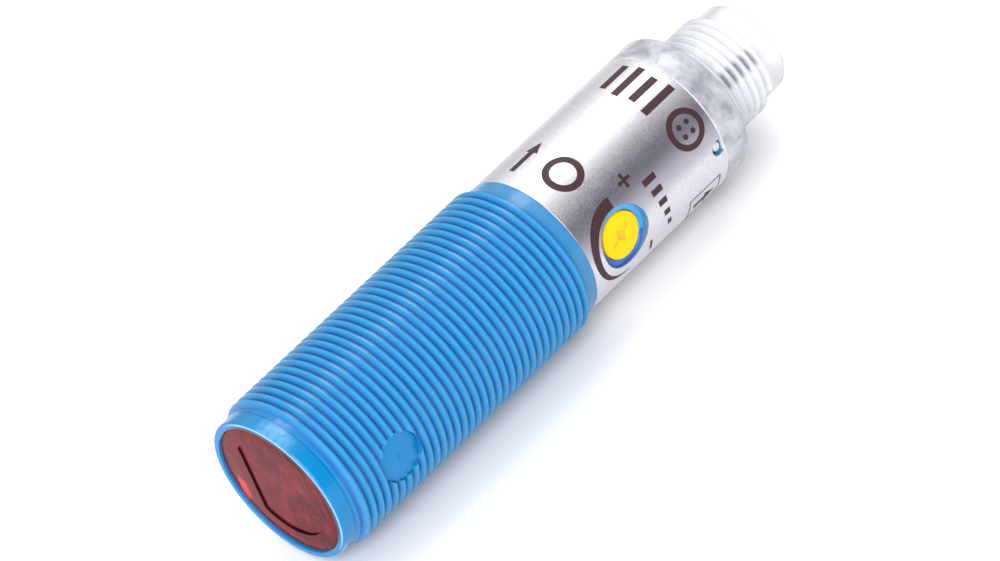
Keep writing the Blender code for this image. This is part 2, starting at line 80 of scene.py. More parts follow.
# Radii and stations that the CAD model's boxes don't show.
PITCH = 1.0 * MM
ROOT_R = LABEL_R
WINDOW_BORE_R = 7.5 * MM
THREAD_BORE_R = 7.0 * MM
REAR_BORE_R = 6.6 * MM
BORE_STEP_X = 35.5 * MM
PARTING_X = 1.43 * MM
VALLEY_X = 1.7 * MM
SHOULDER_X = LABEL_FRONT_X - 0.2 * MM
LABEL_SEAT_R = 7.89 * MM
OPTIC_R = 5.6 * MM
CHORD_Y = 4.0 * MM
RECESS_DEPTH = 0.20 * MM
WELL_R = 3.25 * MM
WELL_FLOOR_Y = -7.35 * MM
KNOB_BORE_R = 2.54 * MM
KNOB_R = 2.45 * MM
GATE_X = 8.45 * MM
GATE_R = 2.5 * MM
GATE_Y = -8.2 * MM
PEG_X = 56.05 * MM
RING_REAR_X = 60.4 * MM
PLUG_VALLEY_X = 61.0 * MM
PLUG_THREAD_END_X = 67.35 * MM
PLUG_ROOT_R = 5.3 * MM
PLUG_CREST_R = 5.87 * MM
PLUG_TIP_R = 5.23 * MM
PLUG_BORE_R = 4.3 * MM
WEB_FRONT_X = 59.0 * MM
WEB_REAR_X = 61.0 * MM
WEB_BORE_R = 3.6 * MM
SPIGOT_R = 6.3 * MM
SPIGOT_BORE_R = 5.2 * MM

# The thread fades in and out between these stations.
THREAD_FRONT_X = 1.62 * MM
THREAD_REAR_X = 34.7 * MM
THREAD_GONE_X = 35.4 * MM

# Segments of a large and a small turned piece.
FINE = 144
ROUND = 64

# The ink's thickness, and how far out the cutters reach.
INK = 0.012 * MM
OUTSIDE = 12 * MM

# Where the lamps aim and the floor is centred.
MIDDLE = Vector((35 * MM, 0.0, 0.0))


# ---------------------------------------------------------------- materials

class Finish:
    """A material under construction: a Principled shader and the nodes that feed it."""

    def __init__(self, name, **sockets):
        self.material = bpy.data.materials.new(name)
        self.material.use_nodes = True
        self.tree = self.material.node_tree
        self.shader = self.tree.nodes["Principled BSDF"]
        self.place = self.node("TexCoord").outputs["Object"]
        for socket, value in sockets.items():
            self.feed(value, self.shader.inputs[socket.replace("_", " ")])

    def feed(self, value, socket):
        if isinstance(value, bpy.types.NodeSocket):
            self.tree.links.new(value, socket)
        elif hasattr(socket.default_value, "__len__") and len(value) < len(socket.default_value):
            socket.default_value = (*value, 1.0)
        else:
            socket.default_value = value

    def node(self, kind, inputs=None, **settings):
        made = self.tree.nodes.new("ShaderNode" + kind)
        for setting, value in settings.items():
            setattr(made, setting, value)
        for socket, value in (inputs or {}).items():
            self.feed(value, made.inputs[socket])
        return made

    def noise(self, size, detail=2.0, stretch=None):
        """Cloudy noise whose blotches are about size across; stretch scales its axes."""
        place = self.place
        if stretch:
            place = self.node("Mapping", {"Vector": place, "Scale": stretch}).outputs[0]
        inputs = {"Vector": place, "Scale": 1.0 / size, "Detail": detail}
        return self.node("TexNoise", inputs).outputs["Fac"]

    def span(self, value, start, end, first=0.0, last=1.0, smooth=False):
        """Maps value from start..end to first..last and holds it beyond."""
        inputs = {"Value": value, "From Min": start, "From Max": end, "To Min": first, "To Max": last}
        kind = "SMOOTHSTEP" if smooth else "LINEAR"
        return self.node("MapRange", inputs, interpolation_type=kind).outputs[0]

    def maths(self, operation, first, second=0.0):
        return self.node("Math", {0: first, 1: second}, operation=operation).outputs[0]

    def mix(self, factor, first, second):
        mixer = self.node("Mix", data_type="RGBA")
        self.feed(factor, mixer.inputs[0])
        self.feed(first, mixer.inputs[6])
        self.feed(second, mixer.inputs[7])
        return mixer.outputs[2]

    def axes(self):
        parts = self.node("SeparateXYZ", {0: self.place}).outputs
        return parts[0], parts[1], parts[2]

    def product(self, first, *others):
        for other in others:
            first = self.maths("MULTIPLY", first, other)
        return first

    def blend(self, first, first_weight, second, second_weight):
        """Two values, weighted and added."""
        return self.maths("ADD", self.product(first, first_weight), self.product(second, second_weight))

    def squares(self, first, second):
        return self.blend(first, first, second, second)

    def radius(self):
        """Distance from the barrel's axis."""
        _, across, up = self.axes()
        return self.maths("SQRT", self.squares(across, up))

    def facing(self, degrees):
        """1 where the barrel's side faces the direction that many degrees above -Y, -1 opposite."""
        _, across, up = self.axes()
        turn = math.radians(degrees)
        return self.maths("DIVIDE", self.blend(across, -math.cos(turn), up, math.sin(turn)), self.radius())

    def turning_away(self, start, end, last=1.0):
        """0 where the surface faces the viewer, last where it is seen at a glancing angle."""
        angle = self.node("LayerWeight", {"Blend": 0.5}).outputs["Facing"]
        return self.span(angle, start, end, 0.0, last)

    def colour(self, value):
        self.feed(value, self.shader.inputs["Base Color"])

    def roughness(self, value):
        self.feed(value, self.shader.inputs["Roughness"])

    def bump(self, height, depth):
        """Relief of the given depth, from a height between 0 and 1."""
        normal = self.node("Bump", {"Height": height, "Distance": depth}).outputs[0]
        self.feed(normal, self.shader.inputs["Normal"])

    def passes_lamps(self, tint):
        """Lets lamplight straight through, dimmed to tint, as thin clear plastic does."""
        output = self.tree.nodes["Material Output"]
        clear = self.node("BsdfTransparent", {"Color": tint}).outputs[0]
        shadow = self.node("LightPath").outputs["Is Shadow Ray"]
        blend = self.node("MixShader", {0: shadow, 1: self.shader.outputs[0], 2: clear})
        self.tree.links.new(blend.outputs[0], output.inputs["Surface"])
        return self


def plastic(name, colour, roughness, grain=0.25 * MM, relief=0.004 * MM, tone=0.85, **sockets):
    """Moulded plastic: a fine matt grain, cloudy gloss and slightly uneven colour."""
    made = Finish(name, **sockets)
    shade = tuple(tone * part for part in colour)
    made.colour(made.mix(made.noise(2.5 * MM, 3.0), shade, colour))
    made.roughness(made.span(made.noise(0.8 * MM), 0.3, 0.7, roughness - 0.06, roughness + 0.06))
    made.bump(made.noise(grain, 3.0), relief)
    return made


def thread_tone(made):
    """Plain plastic, but in the thread brighter crests over grooves painted darker and violet-blue as
    painted shade.
    """
    x, across, up = made.axes()
    plain = made.mix(made.noise(3.0 * MM, 3.0), (0.001, 0.160, 0.385), (0.004, 0.188, 0.420))
    worn = made.mix(made.noise(3.0 * MM, 3.0), (0.036, 0.185, 0.385), (0.048, 0.212, 0.425))
    plain = made.mix(made.span(x, THREAD_REAR_X, THREAD_GONE_X), plain, worn)
    height = made.span(made.radius(), ROOT_R, CREST_R - 0.05 * MM, smooth=True)
    # Painted shade: the colour darkens towards the thread's root.
    ridges_with_groove_shade = made.mix(height, (0.026, 0.140, 0.400), (0.022, 0.224, 0.440))
    off_gate = made.maths("SUBTRACT", x, GATE_X)
    over_gate = made.maths("LESS_THAN", made.squares(off_gate, up), GATE_R * GATE_R)
    on_gate = made.product(over_gate, made.maths("LESS_THAN", across, 0.0))
    in_thread = made.product(made.span(x, THREAD_FRONT_X, 2.2 * MM),
                             made.span(x, THREAD_REAR_X, 35.1 * MM, 1.0, 0.0),
                             made.maths("SUBTRACT", 1.0, on_gate))
    return made.mix(in_thread, plain, ridges_with_groove_shade)


def ledge_tone(made, body):
    """The ledge in the adjuster's well has painted light above and painted shade below."""
    x, across, up = made.axes()
    height = made.blend(made.maths("SUBTRACT", x, ADJUSTER_X), 0.43, up, 0.90)
    # Painted light on the upper part of the ledge, painted shade on the lower part.
    lit_and_shaded_ledge = made.mix(made.span(height, -0.03 * MM, 0.03 * MM), (0.030, 0.135, 0.430), (0.070, 0.300, 0.560))
    on_ledge = made.product(made.span(x, 37.0 * MM, 38.0 * MM),
                            made.span(across, WELL_FLOOR_Y - 0.05 * MM, WELL_FLOOR_Y - 0.02 * MM),
                            made.maths("LESS_THAN", across, 0.0))
    return made.mix(on_ledge, body, lit_and_shaded_ledge)


def collar_tone(made, body):
    """The collar has a pale painted highlight along its top."""
    x = made.axes()[0]
    # Painted highlight, broken up by noise.
    painted_highlight = made.product(made.span(made.facing(71), 0.955, 0.992, 0.0, 0.46, smooth=True),
                         made.span(x, 1.0 * MM, 1.6 * MM, 1.0, 0.0),
                         made.span(made.noise(0.5 * MM, 3.0), 0.35, 0.60, 0.45, 1.0))
    return made.mix(painted_highlight, body, (0.170, 0.400, 0.600))


def rim_painted_light(made, body):
    """Painted light on the rim: its outer edge is painted pale as a reflection where it turns away; above,
    its face has a painted shade line inside a painted highlight line.
    """
    x, radius = made.axes()[0], made.radius()
    near_rim = made.span(x, 0.1 * MM, 0.5 * MM, 1.0, 0.0)
    # Painted reflection: the rim's outer edge turns pale at glancing angles.
    body = made.mix(made.product(near_rim, made.turning_away(0.70, 0.97)), body, (0.420, 0.640, 0.800))
    # Painted shade line on the rim's face above the window, edged by a painted highlight line.
    above = made.span(made.facing(41), 0.1, 0.5)
    light = made.span(radius, WINDOW_BORE_R + 0.34 * MM, WINDOW_BORE_R + 0.39 * MM)
    tone = made.mix(light, (0.001, 0.002, 0.010), (0.300, 0.540, 0.760))
    line_end = made.span(radius, WINDOW_BORE_R + 0.54 * MM, WINDOW_BORE_R + 0.62 * MM, 0.75, 0.0)
    return made.mix(made.product(above, near_rim, line_end), body, tone)


def blue_plastic():
    """The barrel's plastic, with dark flecks and a parting line round the collar."""
    made = Finish("blue plastic", Specular_IOR_Level=0.30, IOR=1.5)
    body = ledge_tone(made, thread_tone(made))
    flecks = made.span(made.noise(0.12 * MM, 2.0), 0.35, 0.65, 0.90, 1.0)
    body = made.mix(flecks, (0.020, 0.100, 0.400), body)
    from_line = made.maths("ABSOLUTE", made.maths("SUBTRACT", made.axes()[0], PARTING_X))
    parting = made.span(from_line, 0.025 * MM, 0.060 * MM)
    body = made.mix(parting, (0.001, 0.070, 0.260), body)
    made.colour(rim_painted_light(made, collar_tone(made, body)))
    made.roughness(made.span(made.noise(0.7 * MM), 0.3, 0.7, 0.15, 0.25))
    grain = made.product(made.noise(0.18 * MM, 3.0), 0.35)
    made.bump(made.maths("ADD", grain, parting), 0.010 * MM)
    return made.material


def silver_foil():
    """Brushed silver polyester with the fine speckle of its metal layer."""
    made = Finish("silver foil", Metallic=1.0)
    speckle = made.noise(0.16 * MM, 3.0)
    cloud = made.noise(4.0 * MM, 3.0)
    tone = made.mix(made.span(speckle, 0.3, 0.7), (0.56, 0.55, 0.59), (0.75, 0.74, 0.78))
    tone = made.mix(made.span(cloud, 0.3, 0.7, 0.0, 0.30), tone, (0.74, 0.73, 0.77))
    # A soft band above the adjuster is painted darker and a little violet, a painted reflection of the dark
    # surroundings.
    dark_reflection_band = made.span(made.blend(made.facing(21), 1.0, cloud, 0.02), 0.93, 1.01, 0.0, 0.75, smooth=True)
    made.colour(made.mix(dark_reflection_band, tone, (0.36, 0.35, 0.42)))
    made.roughness(made.span(speckle, 0.3, 0.7, 0.36, 0.46))
    made.bump(made.noise(0.06 * MM, 2.0), 0.0025 * MM)
    return made.material


def print_ink():
    made = Finish("print ink", Specular_IOR_Level=0.25)
    made.colour(made.mix(made.noise(0.25 * MM, 3.0), (0.030, 0.012, 0.015), (0.055, 0.024, 0.028)))
    made.roughness(made.span(made.noise(0.1 * MM), 0.3, 0.7, 0.42, 0.58))
    made.bump(made.noise(0.08 * MM, 2.0), 0.003 * MM)
    return made.material


def recess_shade(made):
    """1 in the corner of the window's D-shaped recess, where a painted shade line runs."""
    x, across, up = made.axes()
    radius = made.radius()
    corner = made.maths("MAXIMUM", made.maths("SUBTRACT", across, CHORD_Y - 0.18 * MM),
                        made.maths("SUBTRACT", radius, OPTIC_R - 0.18 * MM))
    outline = made.maths("MAXIMUM", made.maths("SUBTRACT", across, CHORD_Y),
                         made.maths("SUBTRACT", radius, OPTIC_R))
    return made.product(made.span(corner, -0.05 * MM, 0.02 * MM),
                        made.span(outline, 0.0, 0.001 * MM, 1.0, 0.0),
                        made.span(x, 0.10 * MM, 0.15 * MM),
                        made.span(across, -3.4 * MM, -1.8 * MM),
                        made.span(up, 3.5 * MM, 3.8 * MM, 1.0, 0.0))


def painted_emitter_glow(made):
    """1 in a small ragged patch at the window's edge, in front of the emitter, where a painted glow stands
    in for its light.
    """
    _, across, up = made.axes()
    side = made.maths("DIVIDE", made.maths("SUBTRACT", across, 6.0 * MM), 0.60 * MM)
    rise = made.maths("DIVIDE", made.maths("SUBTRACT", up, -2.0 * MM), 1.5 * MM)
    ripple = made.span(made.noise(0.7 * MM, 3.0), 0.3, 0.7, -0.35, 0.35)
    reach = made.maths("ADD", made.squares(side, rise), ripple)
    return made.span(reach, 0.35, 1.3, 1.0, 0.0, smooth=True)


def red_filter():
    """Dyed red plastic over the optics: hazy and streaked, with painted light on one side, a painted shade
    line in its recess and a painted glow where the emitter looks out.
    """
    made = Finish("red window", Transmission_Weight=0.30, IOR=1.25, Specular_IOR_Level=0.20)
    streaks = made.span(made.noise(0.9 * MM, 2.5, stretch=(1.0, 1.0, 0.45)), 0.42, 0.76, 0.0, 0.70,
                        smooth=True)
    patches = made.span(made.noise(2.2 * MM, 3.0), 0.38, 0.62)
    dye_and_painted_light = made.mix(patches, (0.060, 0.005, 0.011), (0.160, 0.009, 0.014))
    dye_and_painted_light = made.mix(streaks, dye_and_painted_light, (0.330, 0.020, 0.025))
    # Painted light on one side, then painted shade in the recess corner.
    lit_side = made.span(made.axes()[1], -6.5 * MM, 3.0 * MM, 0.0, 0.5, smooth=True)
    dye_and_painted_light = made.mix(lit_side, dye_and_painted_light, (0.200, 0.011, 0.017))
    shade = recess_shade(made)
    dye_and_painted_light = made.mix(shade, dye_and_painted_light, (0.018, 0.001, 0.002))
    # Painted glow: bright colour and a faint emission where the emitter looks out, though no lamp is there.
    painted_glow = painted_emitter_glow(made)
    made.colour(made.mix(painted_glow, dye_and_painted_light, (0.620, 0.040, 0.022)))
    made.feed((0.75, 0.045, 0.018), made.shader.inputs["Emission Color"])
    made.feed(made.product(painted_glow, 0.09), made.shader.inputs["Emission Strength"])
    gloss = made.span(made.noise(0.6 * MM), 0.3, 0.7, 0.05, 0.14)
    made.roughness(made.blend(gloss, 1.0, shade, 0.5))
    made.bump(made.noise(0.9 * MM, 3.0), 0.008 * MM)
    return made.passes_lamps((0.45, 0.05, 0.06)).material


def valley_painted_reflections(made):
    """1 in the plug thread's valleys, where painted dark reflections stand in for the view that the clear
    sleeve bends to its far side.
    """
    x = made.axes()[0]
    return made.product(made.span(made.facing(28), 0.975, 0.995),
                        made.span(made.radius(), PLUG_ROOT_R + 0.15 * MM, PLUG_ROOT_R + 0.45 * MM, 1.0, 0.0),
                        made.span(x, 61.2 * MM, 61.8 * MM),
                        made.span(x, 66.9 * MM, 67.3 * MM, 1.0, 0.0))


def frosted_plastic():
    """Clear plastic: milky in the plug, smudged grey in the ring where the snaps show through, with painted
    dark reflections in the thread's valleys, a painted highlight along the ring's lip and painted shade
    where it turns away.
    """
    made = Finish("frosted plastic", Transmission_Weight=0.40, IOR=1.49)
    x = made.axes()[0]
    cloud = made.span(made.noise(1.5 * MM, 2.0, stretch=(1.0, 0.6, 0.6)), 0.36, 0.62)
    plug = made.mix(cloud, (0.66, 0.67, 0.69), (0.76, 0.77, 0.79))
    # Painted dark reflections in the thread's valleys.
    plug = made.mix(valley_painted_reflections(made), plug, (0.30, 0.30, 0.34))
    ring = made.mix(cloud, (0.43, 0.44, 0.49), (0.66, 0.67, 0.71))
    smudges = made.span(made.noise(1.3 * MM, 1.5), 0.50, 0.70, smooth=True)
    ring = made.mix(made.product(smudges, 0.6), ring, (0.26, 0.27, 0.31))
    # Painted highlight: a near-white line along the ring's front lip.
    lip = made.span(x, BARREL_REAR_X + 0.12 * MM, BARREL_REAR_X + 0.17 * MM, 0.7, 0.0)
    ring = made.mix(lip, ring, (0.93, 0.94, 0.95))
    in_ring = made.span(x, RING_REAR_X - 0.3 * MM, RING_REAR_X + 0.3 * MM, 1.0, 0.0)
    body = made.mix(in_ring, plug, ring)
    # Painted shade: the surface turns grey where it is seen at a glancing angle.
    made.colour(made.mix(made.turning_away(0.50, 0.95, 0.65), body, (0.38, 0.39, 0.43)))
    made.roughness(made.span(cloud, 0.3, 0.7, 0.14, 0.24))
    made.bump(made.noise(0.9 * MM, 2.0), 0.010 * MM)
    return made.passes_lamps((0.66, 0.67, 0.70)).material


def yellow_plastic():
    made = plastic("yellow plastic", (0.950, 0.530, 0.001), 0.42, tone=0.95,
                   relief=0.003 * MM, Specular_IOR_Level=0.15)
    return made.material


def gold_plating():
    made = Finish("gold plating", Metallic=1.0)
    made.colour(made.mix(made.noise(0.6 * MM, 3.0), (0.78, 0.55, 0.20), (0.90, 0.68, 0.31)))
    made.roughness(made.span(made.noise(0.3 * MM), 0.3, 0.7, 0.16, 0.30))
    made.bump(made.noise(0.15 * MM, 2.0, stretch=(0.2, 1.0, 1.0)), 0.002 * MM)
    return made.material


def tinned_steel():
    made = Finish("tinned steel", Metallic=1.0)
    made.colour(made.mix(made.noise(0.8 * MM, 3.0), (0.52, 0.52, 0.50), (0.72, 0.72, 0.70)))
    made.roughness(made.span(made.noise(0.4 * MM), 0.3, 0.7, 0.25, 0.42))
    made.bump(made.noise(0.2 * MM, 2.0, stretch=(0.15, 1.0, 1.0)), 0.003 * MM)
    return made.material


def circuit_board():
    """Green solder resist over a woven laminate."""
    made = Finish("green laminate")
    weave = made.node("TexWave", {"Vector": made.place, "Scale": 1.0 / (2.5 * MM),
                                  "Distortion": 1.5}).outputs["Fac"]
    made.colour(made.mix(weave, (0.012, 0.090, 0.032), (0.025, 0.160, 0.060)))
    made.roughness(made.span(made.noise(0.5 * MM), 0.3, 0.7, 0.32, 0.48))
    made.bump(weave, 0.004 * MM)
    return made.material


def clear_lens(name, colour, roughness=0.04):
    made = Finish(name, Transmission_Weight=0.92, IOR=1.49)
    made.colour(made.mix(made.noise(1.5 * MM), tuple(0.94 * part for part in colour), colour))
    made.roughness(made.span(made.noise(0.5 * MM), 0.3, 0.7, roughness, roughness + 0.05))
    made.bump(made.noise(0.9 * MM), 0.003 * MM)
    return made.passes_lamps(colour).material


BLUE = blue_plastic()
SILVER = silver_foil()
INKED = print_ink()
RED = red_filter()
# A near-black copy of the window's red: painted shade on the recess walls.
SHADED_RED_WALL = plastic("shaded window wall", (0.022, 0.001, 0.002), 0.35, tone=0.6).material
CLEAR = frosted_plastic()
YELLOW = yellow_plastic()
# A darker copy of the yellow: painted shade on the floor of the knob's slot.
SHADED_SLOT = plastic("shaded slot", (0.830, 0.430, 0.008), 0.55, tone=0.8).material
RUBBER = plastic("black rubber", (0.022, 0.022, 0.024), 0.75, relief=0.010 * MM).material
CARRIER = plastic("optics carrier", (0.200, 0.185, 0.190), 0.50, tone=0.75).material
INSERT = plastic("contact insert", (0.055, 0.055, 0.058), 0.48).material
GOLD = gold_plating()

# The record's slots, for the CAD nodes that keep their own shape.
FINISHES = {
    "blue_plastic": BLUE,
    "silver_label": SILVER,
    "red_window": RED,
    "clear_cap": CLEAR,
    "yellow_plastic": YELLOW,
    "rubber": RUBBER,
    "black_plastic": CARRIER,
    "optical_plastic": clear_lens("optical plastic", (0.94, 0.90, 0.90)),
    "clear_epoxy": clear_lens("clear epoxy", (0.92, 0.86, 0.82), 0.10),
    "circuit_board": circuit_board(),
    "tinned_steel": tinned_steel(),
    "chip_package": plastic("moulded package", (0.028, 0.028, 0.031), 0.55).material,
    "ceramic": plastic("ceramic", (0.43, 0.31, 0.19), 0.5, grain=0.08 * MM).material,
    "tantalum_case": plastic("tantalum case", (0.72, 0.40, 0.06), 0.45).material,
    "green_lamp": plastic("green lamp", (0.22, 0.72, 0.28), 0.2).material,
    "amber_lamp": plastic("amber lamp", (0.88, 0.52, 0.06), 0.2).material,
    "blue_base": plastic("trimmer base", (0.05, 0.16, 0.45), 0.5).material,
    "white_plastic": plastic("white plastic", (0.82, 0.82, 0.80), 0.45).material,
    "black_insert": INSERT,
    "gold_contact": GOLD,
    "brown_wire": plastic("brown wire", (0.18, 0.07, 0.03), 0.45).material,
    "white_wire": plastic("white wire", (0.78, 0.78, 0.76), 0.45).material,
    "blue_wire": plastic("blue wire", (0.03, 0.10, 0.44), 0.45).material,
    "black_wire": plastic("black wire", (0.022, 0.022, 0.022), 0.45).material,
}


# ---------------------------------------------------------------- shapes

def rounded(corners, steps=4):
    """An outline from (along, radius, fillet) corners, each fillet drawn as an arc."""
    outline = []
    for number, (along, radius, fillet) in enumerate(corners):
        corner = Vector((along, radius))
        if not fillet:
            outline.append(corner)
            continue
        before = (Vector(corners[number - 1][:2]) - corner).normalized()
        after = (Vector(corners[(number + 1) % len(corners)][:2]) - corner).normalized()
        half = before.angle(after) / 2
        centre = corner + (before + after).normalized() * (fillet / math.sin(half))
        start = corner + before * (fillet / math.tan(half)) - centre
        end = corner + after * (fillet / math.tan(half)) - centre
        first = math.atan2(start.y, start.x)
        sweep = (math.atan2(end.y, end.x) - first + math.pi) % math.tau - math.pi
        for step in range(steps + 1):
            turn = first + sweep * step / steps
            outline.append(centre + fillet * Vector((math.cos(turn), math.sin(turn))))
    return outline


def about_axis(shape, outline, turn):
    """The outline's points as vertices at one angle about the X axis."""
    across, up = math.cos(turn), math.sin(turn)
    return [shape.verts.new((along, radius * across, radius * up)) for along, radius in outline]


def turned(outline, segments=FINE, closed=True):
    """The outline of (along, radius) points turned about the X axis."""
    shape = bmesh.new()
    rows = [about_axis(shape, outline, math.tau * step / segments) for step in range(segments)]
    stretches = len(outline) if closed else len(outline) - 1
    for step, row in enumerate(rows):
        next_row = rows[(step + 1) % segments]
        for point in range(stretches):
            other = (point + 1) % len(outline)
            shape.faces.new((row[point], row[other], next_row[other], next_row[point]))
    if not closed:
        bmesh.ops.remove_doubles(shape, verts=shape.verts, dist=1e-8)
    return shape


def rod(start, end, radius, segments=ROUND):
    """A plain round bar along X between two stations."""
    return turned([(start, 0.0), (start, radius), (end, radius), (end, 0.0)], segments, False)


def ridge_profile(depth, crest_round):
    """One ridge of the thread from valley to valley, as (share of the pitch, height) points."""
    valley, flank = 0.08 * PITCH, 0.37 * PITCH
    corners = [(0.0, 0.0, 0.0), (valley, 0.0, 0.0), (flank, depth, crest_round),
               (PITCH - flank, depth, crest_round), (PITCH - valley, 0.0, 0.0), (PITCH, 0.0, 0.0)]
    return [(along / PITCH, height) for along, height in rounded(corners, 3)]


def threaded(outline, thread_after, profile, valley_x, start_x, turns, swell, segments=FINE):
    """Turns a closed outline with a right-hand thread let into one stretch of it.

    The stretch lies behind the outline's point number thread_after and in front of the next
    one, at one root radius. Each meridian's thread lies a little further back than the last
    one's, so the last meets the first one whole ridge on. swell(x) is the ridge's share of
    its full height at x.
    """
    shape = bmesh.new()
    root_r = outline[thread_after][1]
    first_turn = math.tau * (start_x - valley_x) / PITCH
    per_ridge = len(profile) - 1
    rings, rows = [], []
    for meridian in range(segments):
        turn = first_turn + math.tau * meridian / segments
        rings.append(about_axis(shape, outline, turn))
        first_x = start_x + PITCH * meridian / segments
        places = [(first_x, root_r)]
        for ridge in range(turns + (meridian == 0)):
            for share, height in profile[1:]:
                x = first_x + PITCH * (ridge + share)
                places.append((x, root_r + height * swell(x)))
        rows.append(about_axis(shape, places, turn))

    def strip(left, right):
        for near, far in zip(range(len(left)), range(1, len(left))):
            shape.faces.new((left[near], left[far], right[far], right[near]))

    def lip(points):
        """The points of the first meridian's loose ridge that its neighbouring facet takes in."""
        if all(abs(math.hypot(*point.co.yz) - root_r) < 1e-8 for point in points):
            return points[1:-1]
        shape.faces.new(points)
        return []

    front = thread_after + 1
    for meridian in range(segments):
        following = (meridian + 1) % segments
        ring, next_ring = rings[meridian], rings[following]
        row, next_row = rows[meridian], rows[following]
        front_facet = [ring[front], row[0], next_row[0], next_ring[front]]
        rear_facet = [row[-1], ring[thread_after], next_ring[thread_after], next_row[-1]]
        if meridian == 0:
            loose = row[-per_ridge - 1:]
            row = row[:-per_ridge]
            rear_facet += [row[-1], *lip(loose)]
        if following == 0:
            loose = next_row[:per_ridge + 1]
            next_row = next_row[per_ridge:]
            front_facet[2:3] = [next_row[0], *reversed(lip(loose)), loose[0]]
        strip(row, next_row)
        shape.faces.new(front_facet)
        shape.faces.new(rear_facet)
        strip(ring[front:] + ring[:front], next_ring[front:] + next_ring[:front])
    return shape


def prism(outline, front_x, rear_x):
    """A straight piece along X, from an outline of (y, z) points."""
    shape = bmesh.new()
    face = shape.faces.new([shape.verts.new((front_x, y, z)) for y, z in outline])
    grown = bmesh.ops.extrude_face_region(shape, geom=[face])["geom"]
    moved = [part for part in grown if isinstance(part, bmesh.types.BMVert)]
    bmesh.ops.translate(shape, verts=moved, vec=(rear_x - front_x, 0.0, 0.0))
    return shape


def block(lowest, highest, bevel=0.0):
    """A box between two corners, with rounded edges."""
    shape = bmesh.new()
    bmesh.ops.create_cube(shape, size=1.0)
    lowest, highest = Vector(lowest), Vector(highest)
    bmesh.ops.scale(shape, vec=highest - lowest, verts=shape.verts)
    bmesh.ops.translate(shape, vec=(lowest + highest) / 2, verts=shape.verts)
    if bevel:
        bmesh.ops.bevel(shape, geom=shape.edges, offset=bevel, segments=3, profile=0.5, affect="EDGES")
    return shape


def optic_outline(inset=0.0):
    """The D outline of the receiver's chamber, drawn in by inset all round."""
    radius, chord = OPTIC_R - inset, CHORD_Y - inset
    corner = math.acos(chord / radius)
    steps = 56
    turns = [corner + (math.tau - 2 * corner) * step / steps for step in range(steps + 1)]
    return [(radius * math.cos(turn), radius * math.sin(turn)) for turn in turns]


def looking_out(x, z=0.0):
    """Lays a turned shape's own axis along -Y, at x and z."""
    return Matrix.Translation((x, 0.0, z)) @ Matrix.Rotation(-math.pi / 2, 4, "Z")


# ---------------------------------------------------------------- pieces

def smooth(mesh, angle=32):
    mesh.shade_smooth()
    mesh.set_sharp_from_angle(angle=math.radians(angle))


def solid(name, shape, material=None, place=None):
    """A mesh object of a shape; without a material it only cuts another."""
    bmesh.ops.recalc_face_normals(shape, faces=shape.faces)
    if place:
        bmesh.ops.transform(shape, matrix=place, verts=shape.verts)
    mesh = bpy.data.meshes.new(name)
    shape.to_mesh(mesh)
    shape.free()
    if material:
        mesh.materials.append(material)
    smooth(mesh)
    made = bpy.data.objects.new(name, mesh)
    bpy.context.scene.collection.objects.link(made)
    return made


def cut(target, *cutters, operation="DIFFERENCE"):
    """Carries out Booleans on a piece and clears the cutters away."""
    for cutter in cutters:
        step = target.modifiers.new(cutter.name, "BOOLEAN")
        step.operation = operation
        step.solver = "EXACT"
        step.object = cutter
    depsgraph = bpy.context.evaluated_depsgraph_get()
    mesh = bpy.data.meshes.new_from_object(target.evaluated_get(depsgraph))
    target.modifiers.clear()
    target.data = mesh
    smooth(mesh)
    for cutter in cutters:
        bpy.data.objects.remove(cutter)
    return target


def stand_in(made, slot, *nodes, body="housing"):
    """Puts a piece on its body in place of the CAD nodes that it stands for."""
    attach(made, body)
    if nodes:
        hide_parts(*nodes)
    return made


def fade(x, start, full, end, gone):
    """0 before start, 1 between full and end, 0 after gone, with eased ends."""
    rise = min(max((x - start) / (full - start), 0.0), 1.0)
    fall = min(max((gone - x) / (gone - end), 0.0), 1.0)
    share = min(rise, fall)
    return share * share * (3.0 - 2.0 * share)


